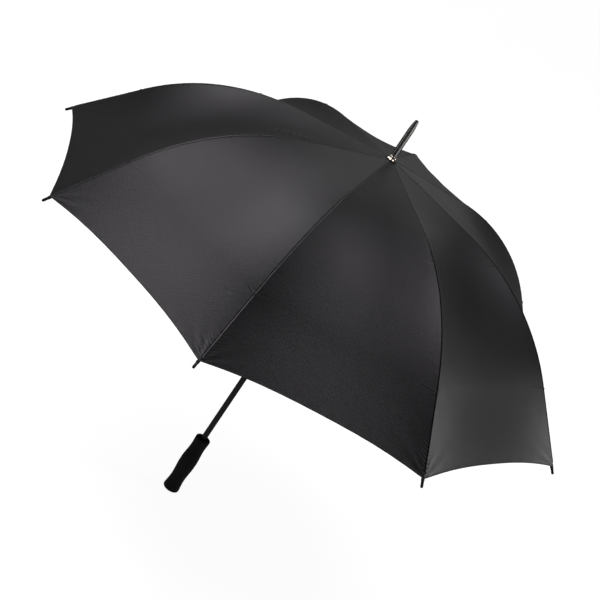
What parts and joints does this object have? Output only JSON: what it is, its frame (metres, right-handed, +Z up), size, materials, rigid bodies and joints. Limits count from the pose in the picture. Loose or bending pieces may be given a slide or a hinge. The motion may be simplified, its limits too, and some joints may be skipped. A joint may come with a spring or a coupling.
{
  "type": "golf umbrella",
  "caption": "Large manual golf umbrella: scalloped black canopy on hinged ribs, sliding runner with stretchers, straight foam grip, chrome cap and long ferrule.",
  "frame": {"origin": "centre of the grip's flat end face", "axes": "+Z up the shaft towards the ferrule; +X towards rib 1"},
  "size_m": [1.319, 1.319, 1.03],
  "materials": {
    "canopy_cloth": "satin woven pongee",
    "grip_foam": "matt closed cell foam",
    "black_plastic": "gloss",
    "hub_plastic": "satin",
    "chrome": "polished",
    "shaft_paint": "satin black",
    "zinc_steel": "zinc plated",
    "fibreglass": "satin black"
  },
  "bodies": {
    "frame": {"shaft": "shaft_paint", "grip": "grip_foam", "cross_pins": "zinc_steel", "notch": "hub_plastic", "notch_wire": "zinc_steel", "top_washer": "canopy_cloth", "cap": "chrome", "ferrule": "black_plastic"},
    "rib_1": {"rib_inner_1": "shaft_paint", "rib_pins_1": "zinc_steel", "canopy_panel_1": "canopy_cloth"},
    "rib_end_1": {"rib_outer_1": "fibreglass", "rib_tip_1": "black_plastic"},
    "strut_1": {"stretcher_1": "shaft_paint"},
    "rib_2": {"rib_inner_2": "shaft_paint", "rib_pins_2": "zinc_steel", "canopy_panel_2": "canopy_cloth"},
    "rib_end_2": {"rib_outer_2": "fibreglass", "rib_tip_2": "black_plastic"},
    "strut_2": {"stretcher_2": "shaft_paint"},
    "rib_3": {"rib_inner_3": "shaft_paint", "rib_pins_3": "zinc_steel", "canopy_panel_3": "canopy_cloth"},
    "rib_end_3": {"rib_outer_3": "fibreglass", "rib_tip_3": "black_plastic"},
    "strut_3": {"stretcher_3": "shaft_paint"},
    "rib_4": {"rib_inner_4": "shaft_paint", "rib_pins_4": "zinc_steel", "canopy_panel_4": "canopy_cloth"},
    "rib_end_4": {"rib_outer_4": "fibreglass", "rib_tip_4": "black_plastic"},
    "strut_4": {"stretcher_4": "shaft_paint"},
    "rib_5": {"rib_inner_5": "shaft_paint", "rib_pins_5": "zinc_steel", "canopy_panel_5": "canopy_cloth"},
    "rib_end_5": {"rib_outer_5": "fibreglass", "rib_tip_5": "black_plastic"},
    "strut_5": {"stretcher_5": "shaft_paint"},
    "rib_6": {"rib_inner_6": "shaft_paint", "rib_pins_6": "zinc_steel", "canopy_panel_6": "canopy_cloth"},
    "rib_end_6": {"rib_outer_6": "fibreglass", "rib_tip_6": "black_plastic"},
    "strut_6": {"stretcher_6": "shaft_paint"},
    "rib_7": {"rib_inner_7": "shaft_paint", "rib_pins_7": "zinc_steel", "canopy_panel_7": "canopy_cloth"},
    "rib_end_7": {"rib_outer_7": "fibreglass", "rib_tip_7": "black_plastic"},
    "strut_7": {"stretcher_7": "shaft_paint"},
    "rib_8": {"rib_inner_8": "shaft_paint", "rib_pins_8": "zinc_steel", "canopy_panel_8": "canopy_cloth"},
    "rib_end_8": {"rib_outer_8": "fibreglass", "rib_tip_8": "black_plastic"},
    "strut_8": {"stretcher_8": "shaft_paint"},
    "runner": {"runner": "black_plastic", "runner_wire": "zinc_steel"},
    "top_catch": {"top_catch": "zinc_steel"},
    "bottom_catch": {"bottom_catch": "zinc_steel"}
  },
  "joints": [
    {"name": "canopy_fold", "type": "hinge", "parent": "frame", "child": "rib_1", "pos_m": [0.011, 0, 0.9232], "axis": [0, 1, 0], "range_deg": [0, 76.33], "deforming": ["canopy_panel_1", "canopy_panel_2", "canopy_panel_3", "canopy_panel_4", "canopy_panel_5", "canopy_panel_6", "canopy_panel_7", "canopy_panel_8"]},
    {"name": "rib_1_flex", "type": "hinge", "parent": "rib_1", "child": "rib_end_1", "pos_m": [0.34725, 0, 0.85578], "axis": [0, 1, 0], "range_deg": [-28.11, 0.5]},
    {"name": "stretcher_1_fold", "type": "hinge", "parent": "rib_1", "child": "strut_1", "pos_m": [0.33172, 0, 0.85463], "axis": [0, 1, 0], "range_deg": [-153.16, 0.5]},
    {"name": "rib_2_fold", "type": "hinge", "parent": "frame", "child": "rib_2", "pos_m": [0.00778, 0.00778, 0.9232], "axis": [-0.7071, 0.7071, 0], "range_deg": [-0.5, 76.83]},
    {"name": "rib_2_flex", "type": "hinge", "parent": "rib_2", "child": "rib_end_2", "pos_m": [0.24554, 0.24554, 0.85578], "axis": [-0.7071, 0.7071, 0], "range_deg": [-28.11, 0.5]},
    {"name": "stretcher_2_fold", "type": "hinge", "parent": "rib_2", "child": "strut_2", "pos_m": [0.23456, 0.23456, 0.85463], "axis": [-0.7071, 0.7071, 0], "range_deg": [-153.16, 0.5]},
    {"name": "rib_3_fold", "type": "hinge", "parent": "frame", "child": "rib_3", "pos_m": [0, 0.011, 0.9232], "axis": [-1, 0, 0], "range_deg": [-0.5, 76.83]},
    {"name": "rib_3_flex", "type": "hinge", "parent": "rib_3", "child": "rib_end_3", "pos_m": [0, 0.34725, 0.85578], "axis": [-1, 0, 0], "range_deg": [-28.11, 0.5]},
    {"name": "stretcher_3_fold", "type": "hinge", "parent": "rib_3", "child": "strut_3", "pos_m": [0, 0.33172, 0.85463], "axis": [-1, 0, 0], "range_deg": [-153.16, 0.5]},
    {"name": "rib_4_fold", "type": "hinge", "parent": "frame", "child": "rib_4", "pos_m": [-0.00778, 0.00778, 0.9232], "axis": [-0.7071, -0.7071, 0], "range_deg": [-0.5, 76.83]},
    {"name": "rib_4_flex", "type": "hinge", "parent": "rib_4", "child": "rib_end_4", "pos_m": [-0.24554, 0.24554, 0.85578], "axis": [-0.7071, -0.7071, 0], "range_deg": [-28.11, 0.5]},
    {"name": "stretcher_4_fold", "type": "hinge", "parent": "rib_4", "child": "strut_4", "pos_m": [-0.23456, 0.23456, 0.85463], "axis": [-0.7071, -0.7071, 0], "range_deg": [-153.16, 0.5]},
    {"name": "rib_5_fold", "type": "hinge", "parent": "frame", "child": "rib_5", "pos_m": [-0.011, 0, 0.9232], "axis": [0, -1, 0], "range_deg": [-0.5, 76.83]},
    {"name": "rib_5_flex", "type": "hinge", "parent": "rib_5", "child": "rib_end_5", "pos_m": [-0.34725, 0, 0.85578], "axis": [0, -1, 0], "range_deg": [-28.11, 0.5]},
    {"name": "stretcher_5_fold", "type": "hinge", "parent": "rib_5", "child": "strut_5", "pos_m": [-0.33172, 0, 0.85463], "axis": [0, -1, 0], "range_deg": [-153.16, 0.5]},
    {"name": "rib_6_fold", "type": "hinge", "parent": "frame", "child": "rib_6", "pos_m": [-0.00778, -0.00778, 0.9232], "axis": [0.7071, -0.7071, 0], "range_deg": [-0.5, 76.83]},
    {"name": "rib_6_flex", "type": "hinge", "parent": "rib_6", "child": "rib_end_6", "pos_m": [-0.24554, -0.24554, 0.85578], "axis": [0.7071, -0.7071, 0], "range_deg": [-28.11, 0.5]},
    {"name": "stretcher_6_fold", "type": "hinge", "parent": "rib_6", "child": "strut_6", "pos_m": [-0.23456, -0.23456, 0.85463], "axis": [0.7071, -0.7071, 0], "range_deg": [-153.16, 0.5]},
    {"name": "rib_7_fold", "type": "hinge", "parent": "frame", "child": "rib_7", "pos_m": [0, -0.011, 0.9232], "axis": [1, 0, 0], "range_deg": [-0.5, 76.83]},
    {"name": "rib_7_flex", "type": "hinge", "parent": "rib_7", "child": "rib_end_7", "pos_m": [0, -0.34725, 0.85578], "axis": [1, 0, 0], "range_deg": [-28.11, 0.5]},
    {"name": "stretcher_7_fold", "type": "hinge", "parent": "rib_7", "child": "strut_7", "pos_m": [0, -0.33172, 0.85463], "axis": [1, 0, 0], "range_deg": [-153.16, 0.5]},
    {"name": "rib_8_fold", "type": "hinge", "parent": "frame", "child": "rib_8", "pos_m": [0.00778, -0.00778, 0.9232], "axis": [0.7071, 0.7071, 0], "range_deg": [-0.5, 76.83]},
    {"name": "rib_8_flex", "type": "hinge", "parent": "rib_8", "child": "rib_end_8", "pos_m": [0.24554, -0.24554, 0.85578], "axis": [0.7071, 0.7071, 0], "range_deg": [-28.11, 0.5]},
    {"name": "stretcher_8_fold", "type": "hinge", "parent": "rib_8", "child": "strut_8", "pos_m": [0.23456, -0.23456, 0.85463], "axis": [0.7071, 0.7071, 0], "range_deg": [-153.16, 0.5]},
    {"name": "runner_travel", "type": "hinge", "parent": "strut_1", "child": "runner", "pos_m": [0.011, 0, 0.78605], "axis": [0, 1, 0], "range_deg": [-0.5, 76.83]},
    {"name": "top_catch_press", "type": "hinge", "parent": "frame", "child": "top_catch", "pos_m": [-0.00277, -0.00115, 0.70355], "axis": [0.3827, -0.9239, 0], "range_deg": [-6, 0], "stiffness_Nm_per_rad": 0.2, "springref_deg": 11.46},
    {"name": "bottom_catch_press", "type": "hinge", "parent": "frame", "child": "bottom_catch", "pos_m": [-0.00277, -0.00115, 0.209], "axis": [0.3827, -0.9239, 0], "range_deg": [-6, 0], "stiffness_Nm_per_rad": 0.2, "springref_deg": 11.46}
  ],
  "couplings": [
    {"joint": "rib_1_flex", "follows": "canopy_fold", "ratio": -0.36172},
    {"joint": "stretcher_1_fold", "follows": "canopy_fold", "ratio": -2},
    {"joint": "rib_2_fold", "follows": "canopy_fold", "ratio": 1},
    {"joint": "rib_2_flex", "follows": "canopy_fold", "ratio": -0.36172},
    {"joint": "stretcher_2_fold", "follows": "canopy_fold", "ratio": -2},
    {"joint": "rib_3_fold", "follows": "canopy_fold", "ratio": 1},
    {"joint": "rib_3_flex", "follows": "canopy_fold", "ratio": -0.36172},
    {"joint": "stretcher_3_fold", "follows": "canopy_fold", "ratio": -2},
    {"joint": "rib_4_fold", "follows": "canopy_fold", "ratio": 1},
    {"joint": "rib_4_flex", "follows": "canopy_fold", "ratio": -0.36172},
    {"joint": "stretcher_4_fold", "follows": "canopy_fold", "ratio": -2},
    {"joint": "rib_5_fold", "follows": "canopy_fold", "ratio": 1},
    {"joint": "rib_5_flex", "follows": "canopy_fold", "ratio": -0.36172},
    {"joint": "stretcher_5_fold", "follows": "canopy_fold", "ratio": -2},
    {"joint": "rib_6_fold", "follows": "canopy_fold", "ratio": 1},
    {"joint": "rib_6_flex", "follows": "canopy_fold", "ratio": -0.36172},
    {"joint": "stretcher_6_fold", "follows": "canopy_fold", "ratio": -2},
    {"joint": "rib_7_fold", "follows": "canopy_fold", "ratio": 1},
    {"joint": "rib_7_flex", "follows": "canopy_fold", "ratio": -0.36172},
    {"joint": "stretcher_7_fold", "follows": "canopy_fold", "ratio": -2},
    {"joint": "rib_8_fold", "follows": "canopy_fold", "ratio": 1},
    {"joint": "rib_8_flex", "follows": "canopy_fold", "ratio": -0.36172},
    {"joint": "stretcher_8_fold", "follows": "canopy_fold", "ratio": -2},
    {"joint": "runner_travel", "follows": "canopy_fold", "ratio": 1}
  ]
}
